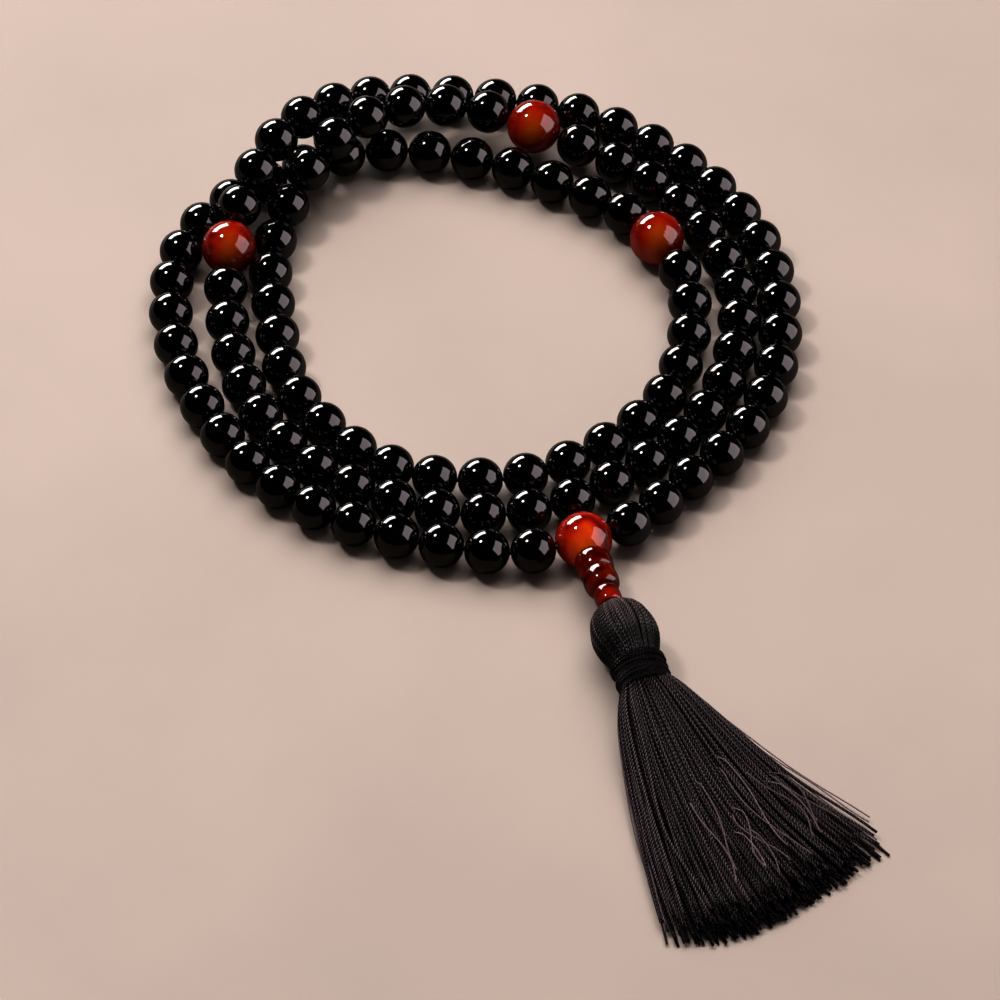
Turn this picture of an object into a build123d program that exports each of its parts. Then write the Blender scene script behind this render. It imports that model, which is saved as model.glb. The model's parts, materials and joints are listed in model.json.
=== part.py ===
"""Mala: 108 polished black beads, three red marker beads and a red guru bead with a tower bead,
threaded on one cord, coiled three times on a table, with a black thread tassel.

Frame: +Z up, the table at Z = 0, the tassel towards -Y. Millimetres.
"""
from build123d import *
import os
import numpy as np

# ---- beads -------------------------------------------------------------------------------------
bead_diameter = 8.0          # black counting bead
marker_diameter = 10.0       # red bead between two quarters
guru_diameter = 10.0         # red bead that closes the strand
beads_per_quarter = 27       # four quarters make 108
beads_per_group = 9          # black beads that share a node, outside the first quarter
bore_diameter = 1.2          # bore of every round bead
mouth_round = 0.12           # broken edge of a bore
link_gap = 0.10              # slack beside each bead on the cord
lying_gap = 0.05             # air between rows of beads that lie against each other

# ---- cord --------------------------------------------------------------------------------------
cord_diameter = 0.8
tail_bend = 0.9              # bend of each cord end inside the guru bead
tail_lead = 0.3              # straight stretch before that bend
cord_air = 0.04              # air between cords, and where a cord meets a turning piece

# ---- tower bead: three rounded tiers, from the guru outwards --------------------------------------
tier_diameters = (6.6, 6.2, 4.7)
tier_lengths = (4.2, 4.2, 3.7)
groove_depth = 0.5           # how far a groove lies inside the smaller tier beside it
tower_end_diameter = 3.7     # flat outer end
tower_bore = 2.0             # takes both ends of the cord
seat_gap = 0.10              # air between the guru bead and the tower's hollow seat
seat_diameter = 5.2          # rim of that seat
stem_turn = -4.8             # degrees that the tower leans off square to the strand, + to its right

# ---- tassel -----------------------------------------------------------------------------------
swing_gap = 1.0              # air between the tower's end and the top of the tassel head
knot_diameter = 1.8
loop_cord_diameter = 0.5
loop_bend = 0.3              # the tassel's hanging loop turns down this close beside the knot
swing_gap_round_loop = 0.18  # air round the loop in the tower's hollow end
head_diameter = 11.6
head_length = 12.6           # from the top of the head to the binding
head_wall = 2.4              # thread layer over the core at its widest
core_lead = 3.0              # from the top of the head to the core
core_length = 5.4
loop_knot_diameter = 3.6     # both legs of the loop end in it
neck_diameter = 8.4          # threads squeezed under the binding
binding_length = 5.5
binding_thickness = 0.5
skirt_length = 48.8
skirt_shoulder = 0.6         # width by which it stands out round the neck under the binding
skirt_end_width = 41.8
skirt_flare = 3.6            # further width that it gains at once below the binding
skirt_flare_length = 3.5     # over about this length
skirt_end_height = 4.6
skirt_fall = 4               # power of the curve in which the skirt comes down to the table
skirt_stations = (0.0, 0.06, 0.14, 0.25, 0.4, 0.6, 0.8, 1.0)
skirt_turn = 10.0            # degrees that the skirt lies off the head's line, + to its right
skirt_cut_turn = 3.7         # degrees that its cut end faces off that line
part_gap = 0.05              # air between neighbouring pieces of the tassel

# ---- how the strand lies -------------------------------------------------------------------------
# Points of the strand's middle line for 8 mm beads: X, Y and the height above a bead on the table.
# Each quarter starts at its red bead. The third quarter crosses over the first, and the fourth too.
route_bead_diameter = 8.0
quarter_routes = [
    [(15.4, -15.7, 0), (-11, -14, 0), (-33.5, -5.5, 0), (-50, 13, 0), (-59, 36, 0), (-58.5, 60.5, 0),
     (-43, 77.5, 0), (-21, 85.5, 0), (2.5, 80.5, 0), (23, 68, 0)],
    [(29, 60.5, 0), (34.5, 44.5, 0), (29, 21, 0), (12, 5.5, 0), (-3.5, 1.5, 0), (-19, 4, 0),
     (-35.5, 21, 0), (-41, 44.5, 0), (-41, 60.5, 0.5), (-35.5, 74.5, 4), (-24.5, 86, 7),
     (-10.5, 92.5, 5)],
    [(6, 88, 2.5), (21.5, 82, 0), (33.5, 70.5, 0), (43, 48, 0), (40, 24, 0), (25.5, 5, 0),
     (5, -6.5, 0), (-18.5, -4, 0), (-38, 10, 0), (-48, 32, 0)],
    [(-49.5, 57, 1.5), (-45, 72.5, 7), (-37, 86.5, 7.5), (-24.5, 96, 3.5), (-9, 99.5, 0.5),
     (14.5, 95.5, 0), (34.5, 81, 0), (48, 61, 0), (50.5, 37, 0), (44, 13.5, 0), (27.5, -4, 0)],
]
samples_per_span = 40        # fineness of the curve through those points
settling_rounds = 2500       # passes that pull the strand tight and part touching beads
stiffness = 0.25             # share of a fault that one pass mends at each corner
beside_gap = 0.02            # least air between neighbours on the cord

quarter_names = ("q1", "q2", "q3", "q4")
quarters = len(quarter_names)


# ---- the strand: where every bead sits -----------------------------------------------------------
def smooth_line(points):
    """A closed Catmull-Rom curve through the points, as an array of places along it."""
    knots = np.array(points, float)
    step = np.linspace(0, 1, samples_per_span, endpoint=False)[:, None]
    spans = []
    for index in range(len(knots)):
        before, here = knots[index - 1], knots[index]
        there, after = knots[(index + 1) % len(knots)], knots[(index + 2) % len(knots)]
        slope = there - before
        bend = 2 * before - 5 * here + 4 * there - after
        twist = 3 * here - 3 * there + after - before
        spans.append(here + 0.5 * (slope * step + bend * step**2 + twist * step**3))
    return np.vstack(spans)


def first_corners(links, radii):
    """The cord's corners before settling, one at the near mouth of each bead, along the route."""
    line = smooth_line([point for route in quarter_routes for point in route])
    steps = np.linalg.norm(np.roll(line, -1, 0) - line, axis=1)
    plan_scale = links.sum() / steps.sum()
    line = line * [plan_scale, plan_scale, bead_diameter / route_bead_diameter]
    steps = np.linalg.norm(np.roll(line, -1, 0) - line, axis=1)
    travelled = np.concatenate([[0], np.cumsum(steps)])
    closed = np.vstack([line, line[:1]])

    points_before = np.cumsum([0] + [len(route) for route in quarter_routes])
    red_on_line = travelled[points_before * samples_per_span]
    middles = np.cumsum(links) - links / 2
    middles = middles - middles[0]
    red_on_cord = np.append(middles[:: beads_per_quarter + 1], links.sum())
    corners_on_cord = np.mod(middles - links / 2, links.sum())
    places = np.interp(corners_on_cord, red_on_cord, red_on_line)
    corners = np.stack([np.interp(places, travelled, closed[:, axis]) for axis in range(3)], 1)
    corners[:, 2] += (radii + np.roll(radii, 1)) / 2
    return corners


def settle(corners, links, radii):
    """Move the corners until each bead has its length of cord, none overlap and none sink."""
    count = len(links)
    following = np.roll(np.arange(count), -1)
    one, other = np.triu_indices(count, 1)
    beside = (other - one == 1) | (other - one == count - 1)
    reach = radii[one] + radii[other] + np.where(beside, beside_gap, lying_gap)
    for _ in range(settling_rounds):
        edges = corners[following] - corners
        lengths = np.linalg.norm(edges, axis=1)
        pull = edges * (stiffness * (lengths - links) / lengths)[:, None]
        corners = corners + pull
        np.subtract.at(corners, following, pull)

        middles = (corners + corners[following]) / 2
        apart = middles[other] - middles[one]
        distance = np.linalg.norm(apart, axis=1)
        close = distance < reach
        push = apart[close] * (stiffness * (reach - distance) / distance)[close][:, None]
        for sign, ends in ((-1, one[close]), (1, other[close])):
            np.add.at(corners, ends, sign * push)
            np.add.at(corners, following[ends], sign * push)

        middles = (corners + corners[following]) / 2
        sunk = np.maximum(0, radii - middles[:, 2]) / 2
        corners[:, 2] += sunk
        np.add.at(corners[:, 2], following, sunk)
    return corners


def unit(vector):
    """The vector at length one."""
    return vector / np.linalg.norm(vector)


diameters = []
for first_diameter in (guru_diameter, marker_diameter, marker_diameter, marker_diameter):
    diameters += [first_diameter] + [bead_diameter] * beads_per_quarter
radii = np.array(diameters) / 2
links = 2 * radii + link_gap
corners = settle(first_corners(links, radii), links, radii)
next_corners = np.roll(corners, -1, 0)
centres = (corners + next_corners) / 2
bores = (next_corners - corners) / np.linalg.norm(next_corners - corners, axis=1)[:, None]


# ---- the tassel's line: out of the guru bead, square to the strand --------------------------------
table_normal = np.array([0.0, 0.0, 1.0])
guru_centre = centres[0]
strand_axis = bores[0]
outward = unit(np.cross(strand_axis, table_normal))
if outward[1] > 0:
    outward = -outward
lean = np.radians(stem_turn)
outward = np.cos(lean) * outward + np.sin(lean) * np.cross(table_normal, outward)

guru_radius = guru_diameter / 2
seat_radius = guru_radius + seat_gap
tower_start = (seat_radius**2 - (seat_diameter / 2)**2) ** 0.5
tower_end = tower_start + sum(tier_lengths)
knot_reach = tower_end + swing_gap / 2          # guru centre to knot centre
head_radius = head_diameter / 2
knot_height = head_radius + part_gap
rise = np.arcsin((knot_height - guru_centre[2]) / knot_reach)
stem_axis = np.cos(rise) * outward + np.sin(rise) * table_normal
knot_centre = guru_centre + knot_reach * stem_axis
tassel_axis = outward
tassel_side = np.cross(table_normal, tassel_axis)


def place(origin, along, side):
    """A plane whose Z runs along a piece and whose X points to its side."""
    side = side - along * float(np.dot(side, along))
    return Plane(origin=tuple(origin), x_dir=tuple(side), z_dir=tuple(along))


stem_place = place(guru_centre, stem_axis, tassel_side)
tassel_place = place(knot_centre, tassel_axis, tassel_side)


# ---- pieces -----------------------------------------------------------------------------------
def round_bead(diameter):
    """A ball with a straight bore along Z, its mouths rounded."""
    ball = Sphere(diameter / 2) - Cylinder(bore_diameter / 2, 2 * diameter)
    return fillet(ball.edges().filter_by(GeomType.CIRCLE), mouth_round)


def placed_bead(bead, index):
    """A copy of the bead at its place on the strand."""
    side = np.cross(bores[index], table_normal)
    return place(centres[index], bores[index], side).location * bead


def guru_bead():
    """The guru: a cross bore for the strand and a wider bore down to the tower."""
    strand_place = place(guru_centre, strand_axis, table_normal)
    cross_bore = strand_place.location * Cylinder(bore_diameter / 2, 2 * guru_diameter)
    stem_width = max(tower_bore, 2 * cord_diameter + 8 * cord_air)
    stem_bore = Cylinder(stem_width / 2, guru_diameter, align=(Align.CENTER, Align.CENTER, Align.MIN))
    return stem_place.location * (Sphere(guru_radius) - stem_bore) - cross_bore


def tower_bead():
    """Three rounded tiers turned on one axis, hollow at both ends."""
    radii_of_tiers = [diameter / 2 for diameter in tier_diameters]
    ends = [seat_diameter / 2]
    for larger, smaller in zip(radii_of_tiers, radii_of_tiers[1:]):
        ends.append(min(larger, smaller) - groove_depth)
    ends.append(tower_end_diameter / 2)
    outline = []
    station = tower_start
    for index, (radius, length) in enumerate(zip(radii_of_tiers, tier_lengths)):
        start = (ends[index], 0, station)
        middle = (radius, 0, station + length / 2)
        finish = (ends[index + 1], 0, station + length)
        outline.append(ThreePointArc(start, middle, finish))
        station += length
    outline += Polyline((ends[-1], 0, station), (0, 0, station), (0, 0, tower_start),
                        (ends[0], 0, tower_start)).edges()
    body = revolve(make_face(Wire(outline)), Axis.Z)
    body = body - Sphere(seat_radius)
    body = body - Pos(0, 0, tower_start) * Cylinder(tower_bore / 2, 3 * sum(tier_lengths))
    body = body - Pos(0, 0, knot_reach) * Sphere(loop_reach + swing_gap_round_loop)
    return stem_place.location * body


def bent_path(points, bends):
    """Straight runs through the points, joined by tangent arcs of the given radii."""
    pieces = []
    run_start = Vector(*points[0])
    for before, corner, after, radius in zip(points, points[1:], points[2:], bends):
        corner = Vector(*corner)
        back = (Vector(*before) - corner).normalized()
        ahead = (Vector(*after) - corner).normalized()
        turn = np.radians(180 - back.get_angle(ahead))
        cut = radius * np.tan(turn / 2)
        middle = (back + ahead).normalized() * (radius / np.cos(turn / 2) - radius)
        arc_start = corner + back * cut
        arc_end = corner + ahead * cut
        pieces.append(Line(run_start, arc_start))
        pieces.append(ThreePointArc(arc_start, corner + middle, arc_end))
        run_start = arc_end
    pieces.append(Line(run_start, Vector(*points[-1])))
    return Wire(pieces)


def tube(path, diameter):
    """A round cord along the path."""
    start = Plane(origin=path @ 0, z_dir=path % 0)
    return sweep(start * Circle(diameter / 2), path=path)


beside_knot = knot_diameter / 2 + cord_air + loop_bend
beside_tails = cord_diameter + 1.5 * cord_air + loop_cord_diameter / 2
loop_half_width = max(beside_knot, beside_tails)                      # axis to a leg of the loop
turn_reach = (cord_diameter + cord_air) / 2 + tail_bend + tail_lead   # guru centre to a tail's end
loop_reach = (loop_half_width**2 + loop_bend**2) ** 0.5 + loop_cord_diameter / 2


def stringing_cord():
    """The cord from the guru through all the other beads and back, straight in every bore."""
    start = guru_centre + strand_axis * (turn_reach + cord_air)
    finish = guru_centre - strand_axis * (turn_reach + cord_air)
    points = [start] + list(corners[1:]) + [corners[0]] + [finish]
    room = 0.6 * (bore_diameter - cord_diameter) / 2
    bends = []
    for before, corner, after in zip(points, points[1:], points[2:]):
        runs = (np.linalg.norm(corner - before), np.linalg.norm(after - corner))
        turn = np.arccos(np.dot(unit(corner - before), unit(after - corner)))
        widest = 0.45 * min(runs) / np.tan(turn / 2)
        bends.append(min(widest, room / (1 / np.cos(turn / 2) - 1)))
    path = bent_path(points, bends)
    print("stringing cord: length", round(path.length, 1), "bends", round(min(bends), 1),
          "to", round(max(bends), 1))
    cord = tube(path, cord_diameter)
    print("cord volume over section times length",
          round(cord.volume / (np.pi * cord_diameter**2 / 4 * path.length), 4))
    return cord


def cord_tails():
    """Both ends of the cord, turned down inside the guru, side by side through the tower."""
    offset = (cord_diameter + cord_air) / 2
    toward_right = strand_axis * np.sign(np.dot(strand_axis, tassel_side))
    clear_of_knot = Pos(*knot_centre) * Sphere(knot_diameter / 2 + cord_air)
    across_knot = Cylinder(loop_cord_diameter / 2 + cord_air, 2 * loop_half_width + loop_cord_diameter)
    clear_of_loop = tassel_place.location * Rot(0, 90, 0) * across_knot
    tails = []
    for sign in (-1, 1):
        corner = guru_centre + sign * offset * tassel_side
        points = [guru_centre + sign * turn_reach * toward_right, corner,
                  corner + knot_reach * stem_axis]
        tail = tube(bent_path(points, [tail_bend]), cord_diameter) - clear_of_knot - clear_of_loop
        tails.append(tail.solids().sort_by(lambda solid: solid.volume)[-1])
    return Compound(tails)


def closing_knot():
    """The knot that ties the two cord ends, with the tassel's loop passing through it."""
    eye = Rot(0, 90, 0) * Cylinder(loop_cord_diameter / 2 + cord_air, 2 * knot_diameter)
    return tassel_place.location * (Sphere(knot_diameter / 2) - eye)


head_top = swing_gap / 2                       # all along the tassel's axis, from the knot
head_end = head_top + head_length
core_radius = head_radius - head_wall
core_start = head_top + core_lead
core_end = core_start + core_length
loop_knot_place = core_end + loop_knot_diameter / 2 + part_gap
loop_hole_width = 2 * loop_half_width + loop_cord_diameter + 2 * part_gap
loop_hole_height = loop_cord_diameter + 2 * part_gap


def tassel_loop():
    """A loop of thin cord: through the knot, down both sides of it and into its own knot."""
    points = [(-loop_half_width, 0, loop_knot_place), (-loop_half_width, 0, 0),
              (loop_half_width, 0, 0), (loop_half_width, 0, loop_knot_place)]
    return tassel_place.location * tube(bent_path(points, [loop_bend, loop_bend]), loop_cord_diameter)


def loop_slot(start, end):
    """The flat hole that both legs of the loop pass through."""
    slot = SlotOverall(loop_hole_width, loop_hole_height)
    return extrude(Plane.XY.offset(start) * slot, end - start)


def egg(start, end, radius):
    """A closed egg of revolution between two places on the axis."""
    middle = (start + end) / 2
    side = Spline([(0, 0, start), (radius, 0, middle), (0, 0, end)],
                  tangents=[(1, 0, 0), (0, 0, 1), (-1, 0, 0)])
    return revolve(make_face(Wire(side.edges() + Line((0, 0, end), (0, 0, start)).edges())), Axis.Z)


def head_core():
    """The egg-shaped former inside the head, with a flat hole for the loop."""
    core = egg(core_start, core_end, core_radius)
    return tassel_place.location * (core - loop_slot(0, core_end + 1))


def loop_knot():
    """The knot that ends the loop under the core and carries the tassel."""
    knot = Pos(0, 0, loop_knot_place) * Sphere(loop_knot_diameter / 2)
    return tassel_place.location * (knot - loop_slot(0, loop_knot_place + part_gap))


def tassel_head():
    """The threads folded over the core and gathered to the neck."""
    neck_radius = neck_diameter / 2
    widest = head_top + 0.45 * head_length
    side = Spline([(0, 0, head_top), (head_radius, 0, widest), (neck_radius, 0, head_end)],
                  tangents=[(1, 0, 0), (0, 0, 1), (-0.25, 0, 1)])
    rest = Polyline((neck_radius, 0, head_end), (0, 0, head_end), (0, 0, head_top))
    threads = revolve(make_face(Wire(side.edges() + rest.edges())), Axis.Z)
    hollow = egg(core_start - part_gap, core_end + part_gap, core_radius + part_gap)
    hollow += Pos(0, 0, loop_knot_place) * Sphere(loop_knot_diameter / 2 + part_gap)
    knot_room = Sphere(knot_diameter / 2 + cord_air)
    return tassel_place.location * (threads - hollow - knot_room - loop_slot(0, loop_knot_place))


def neck_binding():
    """The thread wound round the neck, with rounded edges, over the tied threads."""
    inner = neck_diameter / 2 + part_gap
    outer = inner + binding_thickness
    ring = Cylinder(outer, binding_length) - Cylinder(inner, 2 * binding_length)
    rims = ring.edges().filter_by(GeomType.CIRCLE).sort_by(lambda edge: edge.radius)[-2:]
    ring = fillet(rims, 0.6 * binding_thickness)
    return tassel_place.location * Pos(0, 0, head_end + part_gap + binding_length / 2) * ring


def tassel_skirt():
    """The hanging threads, fanned out flat on the table, from inside the binding to the cut ends."""
    neck_radius = neck_diameter / 2
    neck_start = head_end + part_gap
    fan_start = neck_start + binding_length + part_gap
    neck = Pos(0, 0, neck_start) * Cylinder(neck_radius, binding_length + 2 * part_gap,
                                            align=(Align.CENTER, Align.CENTER, Align.MIN))
    sections = []
    for share in skirt_stations:
        flared = skirt_flare * (1 - np.exp(-share * skirt_length / skirt_flare_length))
        start_width = neck_diameter + skirt_shoulder
        width = start_width + flared + (skirt_end_width - start_width - skirt_flare) * share
        height = start_width + (skirt_end_height - start_width) * share
        off_line = np.radians(skirt_turn)
        along = fan_start + skirt_length * share * np.cos(off_line)
        side = skirt_length * share * np.sin(off_line)
        drop = (knot_height - part_gap - height / 2) * (1 - (1 - share)**skirt_fall)
        face_turn = np.radians(skirt_cut_turn) * share
        sheet = Plane(origin=(side, -drop, along), x_dir=(np.cos(face_turn), 0, -np.sin(face_turn)),
                      z_dir=(np.sin(face_turn), 0, np.cos(face_turn)))
        sections.append(sheet * Ellipse(width / 2, height / 2))
    fan = loft(sections, ruled=True)
    return tassel_place.location * (neck + fan)


# ---- build ------------------------------------------------------------------------------------
nodes = {}
black_bead = round_bead(bead_diameter)
marker_bead = round_bead(marker_diameter)
for number in range(1, quarters):
    nodes[f"quarter_marker_{number}"] = placed_bead(marker_bead, number * (beads_per_quarter + 1))
for number in range(1, beads_per_quarter + 1):
    nodes[f"q1_bead_{number:02d}"] = placed_bead(black_bead, number)
for quarter in range(1, quarters):
    for first in range(1, beads_per_quarter + 1, beads_per_group):
        numbers = range(first, min(first + beads_per_group, beads_per_quarter + 1))
        start = quarter * (beads_per_quarter + 1)
        group = [placed_bead(black_bead, start + number).solid() for number in numbers]
        name = f"{quarter_names[quarter]}_beads_{numbers[0]:02d}_{numbers[-1]:02d}"
        nodes[name] = Compound(group)
nodes["guru_bead"] = guru_bead()
nodes["tower_bead"] = tower_bead()
nodes["stringing_cord"] = stringing_cord()
nodes["cord_tails"] = cord_tails()
nodes["closing_knot"] = closing_knot()
nodes["tassel_loop"] = tassel_loop()
nodes["head_core"] = head_core()
nodes["loop_knot"] = loop_knot()
nodes["tassel_head"] = tassel_head()
nodes["neck_binding"] = neck_binding()
nodes["tassel_skirt"] = tassel_skirt()

# The origin is under the middle of the whole object.
whole = Compound([solid for shape in nodes.values() for solid in shape.solids()]).bounding_box()
to_origin = Vector(-whole.center().X, -whole.center().Y, -whole.min.Z)

os.makedirs("parts", exist_ok=True)
for name, shape in nodes.items():
    export_step(Pos(to_origin) * shape, f"parts/{name}.step")


# ---- sizes and joint places ------------------------------------------------------------------------
def listed(vector):
    """A place or direction as a plain list, to four decimals."""
    return [round(float(value), 4) for value in vector]


shift = np.array([to_origin.X, to_origin.Y, to_origin.Z])
print("size", listed((whole.size.X, whole.size.Y, whole.size.Z)), "moved by", listed(shift))
turning = [("guru", guru_centre, strand_axis), ("tower", guru_centre, stem_axis),
           ("knot", knot_centre, table_normal), ("tassel", knot_centre, -tassel_side)]
for number in range(1, quarters):
    index = number * (beads_per_quarter + 1)
    turning.append((f"quarter_marker_{number}", centres[index], bores[index]))
for number in range(1, beads_per_quarter + 1):
    turning.append((f"q1_bead_{number:02d}", centres[number], bores[number]))
for name, centre, axis in turning:
    print("axis", name, listed(centre + shift), listed(axis))
bends_of_strand = np.degrees(np.arccos(np.sum(bores * np.roll(bores, 1, 0), axis=1)))
print("sharpest bend between beads", round(float(bends_of_strand.max()), 1), "degrees")
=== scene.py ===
"""A coiled mala of 108 polished black beads, red carnelian beads and a black thread tassel.

Run in Blender 4.5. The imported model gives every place: this script adds the looks, in metres.
"""
import json

import bpy
import numpy as np
from bpy.props import FloatProperty, FloatVectorProperty, IntProperty, PointerProperty
from bpy.types import Operator, Panel, PropertyGroup
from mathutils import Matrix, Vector


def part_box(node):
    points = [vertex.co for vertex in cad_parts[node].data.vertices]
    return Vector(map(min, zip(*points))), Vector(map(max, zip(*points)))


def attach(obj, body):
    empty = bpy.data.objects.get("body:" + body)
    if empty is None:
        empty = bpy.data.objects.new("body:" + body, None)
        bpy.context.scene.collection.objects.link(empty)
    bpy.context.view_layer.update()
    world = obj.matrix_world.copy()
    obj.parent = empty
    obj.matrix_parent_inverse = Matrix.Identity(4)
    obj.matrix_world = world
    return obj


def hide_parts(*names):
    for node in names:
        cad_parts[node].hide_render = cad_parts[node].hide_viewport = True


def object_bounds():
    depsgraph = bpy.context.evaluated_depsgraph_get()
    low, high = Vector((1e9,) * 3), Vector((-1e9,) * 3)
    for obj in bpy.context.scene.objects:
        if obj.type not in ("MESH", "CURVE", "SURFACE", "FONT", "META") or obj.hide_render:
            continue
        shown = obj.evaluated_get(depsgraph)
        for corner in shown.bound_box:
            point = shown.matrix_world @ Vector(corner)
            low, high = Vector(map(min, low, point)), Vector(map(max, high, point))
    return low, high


bl_info = {
    "name": "Mala maker",
    "version": (1, 0, 0),
    "blender": (4, 5, 0),
    "location": "3D View > Sidebar > Mala",
    "description": "Strings polished beads and ties a thread tassel on the packed mala",
    "category": "Object",
}

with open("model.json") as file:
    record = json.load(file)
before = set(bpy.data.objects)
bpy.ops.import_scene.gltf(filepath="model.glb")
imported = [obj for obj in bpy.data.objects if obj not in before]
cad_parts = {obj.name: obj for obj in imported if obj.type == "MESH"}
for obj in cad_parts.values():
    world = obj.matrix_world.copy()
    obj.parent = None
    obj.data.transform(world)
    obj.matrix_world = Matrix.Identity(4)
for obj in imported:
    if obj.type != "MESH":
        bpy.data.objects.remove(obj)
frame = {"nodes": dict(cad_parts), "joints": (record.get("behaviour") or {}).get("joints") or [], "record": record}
nodes = frame["nodes"]
joints = {joint["name"]: joint for joint in frame["joints"]}
cad_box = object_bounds()

MM = 0.001
TABLE_NORMAL = np.array([0.0, 0.0, 1.0])
BORE_SHARE = 0.982           # points nearer a bead's centre than this share of its radius are bore
BEAD_MOUTH = 0.03            # rounding of a bore's mouth, in bead radii
ROUND_FACES = 48             # faces round the tower bead and the head's lining


# ---- where the pieces sit ------------------------------------------------------------------------
def joint_place(name):
    """A joint's position in metres and its axis at length one."""
    axis = np.array(joints[name]["axis"], float)
    return np.array(joints[name]["pos_m"], float), axis / np.linalg.norm(axis)


GURU_CENTRE, STRAND_AXIS = joint_place("guru_roll")
STEM_AXIS = joint_place("tower_spin")[1]
KNOT_CENTRE = joint_place("tassel_lift")[0]
TASSEL_SIDE = -joint_place("tassel_lift")[1]
TASSEL_AXIS = np.cross(TASSEL_SIDE, TABLE_NORMAL)


def tassel_points(side, up, along):
    """Places from millimetres at the knot: to the tassel's right, up, and down its length."""
    side, up, along = np.broadcast_arrays(side, up, along)
    return KNOT_CENTRE + MM * (side[..., None] * TASSEL_SIDE + up[..., None] * TABLE_NORMAL
                               + along[..., None] * TASSEL_AXIS)


def tassel_direction(side, up, along):
    """A direction given on the tassel's own axes."""
    return (side[..., None] * TASSEL_SIDE + up[..., None] * TABLE_NORMAL
            + along[..., None] * TASSEL_AXIS)


def bead_places(node_name):
    """Centres, bore axes and radii of the beads in a node, from its mesh.

    Points that share a triangle belong to one bead: each point takes the lowest number among its
    triangles' points until nothing changes. A bead's centre is the middle of its box, its radius
    is its farthest point, and its bore runs along the line on which the points nearer the centre
    than the skin are spread furthest.
    """
    mesh = nodes[node_name].data
    points = np.empty(len(mesh.vertices) * 3, np.float32)
    mesh.vertices.foreach_get("co", points)
    corners = np.empty(len(mesh.loops), np.int32)
    mesh.loops.foreach_get("vertex_index", corners)
    points, merged = np.unique(points.reshape(-1, 3).round(7), axis=0, return_inverse=True)
    triangles = merged.reshape(-1)[corners].reshape(-1, 3)
    island = np.arange(len(points))
    while True:
        lowest = island[triangles].min(axis=1)
        spread = island.copy()
        np.minimum.at(spread, triangles, lowest[:, None])
        spread = spread[spread]
        if np.array_equal(spread, island):
            break
        island = spread
    centres, axes, radii = [], [], []
    for bead in np.unique(island):
        bead_points = points[island == bead].astype(float)
        centre = (bead_points.max(axis=0) + bead_points.min(axis=0)) / 2
        away = bead_points - centre
        reach = np.linalg.norm(away, axis=1)
        wall = away[reach < BORE_SHARE * reach.max()]
        centres.append(centre)
        axes.append(np.linalg.eigh(wall.T @ wall)[1][:, 2])
        radii.append(reach.max())
    return np.array(centres), np.array(axes), np.array(radii)


# ---- surfaces ------------------------------------------------------------------------------------
def unit(vectors):
    """Vectors at length one."""
    return vectors / np.linalg.norm(vectors, axis=-1, keepdims=True)


def grid_object(name, points, uvs, material, around_rows=False):
    """An object made of grids: points (grids, rows, columns, 3), closed across its columns.

    uvs (grids, rows + 1, columns + 1, 2) holds the corners' UV. When around_rows is set, the rows
    close too, as on a ring. Otherwise the first and the last row are closed by flat caps.
    """
    grids, rows, columns = points.shape[:3]
    spans = rows if around_rows else rows - 1
    row = np.arange(spans)[:, None]
    column = np.arange(columns)[None, :]
    next_row = (row + 1) % rows
    next_column = (column + 1) % columns
    quad = np.stack([row * columns + column, row * columns + next_column,
                     next_row * columns + next_column, next_row * columns + column], axis=-1)
    start = (np.arange(grids) * rows * columns)[:, None, None, None]
    corners = (quad[None] + start).reshape(-1)
    faces = grids * spans * columns
    loop_starts = np.arange(faces) * 4
    corner_uv = np.stack([uvs[:, :spans, :columns], uvs[:, :spans, 1:],
                          uvs[:, 1:spans + 1, 1:], uvs[:, 1:spans + 1, :columns]], axis=3)
    corner_uv = corner_uv.reshape(-1, 2)
    if not around_rows:
        first = np.arange(columns)[::-1][None] + start[:, 0, 0]
        last = np.arange(columns)[None] + (rows - 1) * columns + start[:, 0, 0]
        caps = np.concatenate([first, last]).reshape(-1)
        loop_starts = np.concatenate([loop_starts, faces * 4 + np.arange(2 * grids) * columns])
        corners = np.concatenate([corners, caps])
        cap_uv = np.concatenate([uvs[:, 0, columns - 1::-1], uvs[:, rows - 1, :columns]])
        corner_uv = np.concatenate([corner_uv, cap_uv.reshape(-1, 2)])
    mesh = bpy.data.meshes.new(name)
    mesh.vertices.add(grids * rows * columns)
    mesh.vertices.foreach_set("co", points.reshape(-1).astype(np.float32))
    mesh.loops.add(len(corners))
    mesh.loops.foreach_set("vertex_index", corners.astype(np.int32))
    mesh.polygons.add(len(loop_starts))
    mesh.polygons.foreach_set("loop_start", loop_starts.astype(np.int32))
    layer = mesh.uv_layers.new(name="UVMap")
    layer.data.foreach_set("uv", corner_uv.reshape(-1).astype(np.float32))
    mesh.update(calc_edges=True)
    mesh.validate()
    mesh.shade_smooth()
    mesh.materials.append(material)
    piece = bpy.data.objects.new(name, mesh)
    bpy.context.scene.collection.objects.link(piece)
    return piece


def turned_points(centres, axes, radii, stations, columns):
    """A profile turned about axes: radii and stations (n, rows) along each axis, in metres.

    A point is its centre, plus its station along the axis, plus its radius times the cosine and
    the sine of its angle on two directions square to the axis.
    """
    helper = np.where(np.abs(axes[:, 2:3]) < 0.9, TABLE_NORMAL, np.array([1.0, 0.0, 0.0]))
    first = unit(np.cross(axes, helper))
    second = np.cross(axes, first)
    angle = np.linspace(0, 2 * np.pi, columns, endpoint=False)
    ring = np.cos(angle)[:, None] * first[:, None] + np.sin(angle)[:, None] * second[:, None]
    return (centres[:, None, None] + stations[:, :, None, None] * axes[:, None, None]
            + radii[:, :, None, None] * ring[:, None])


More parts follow.
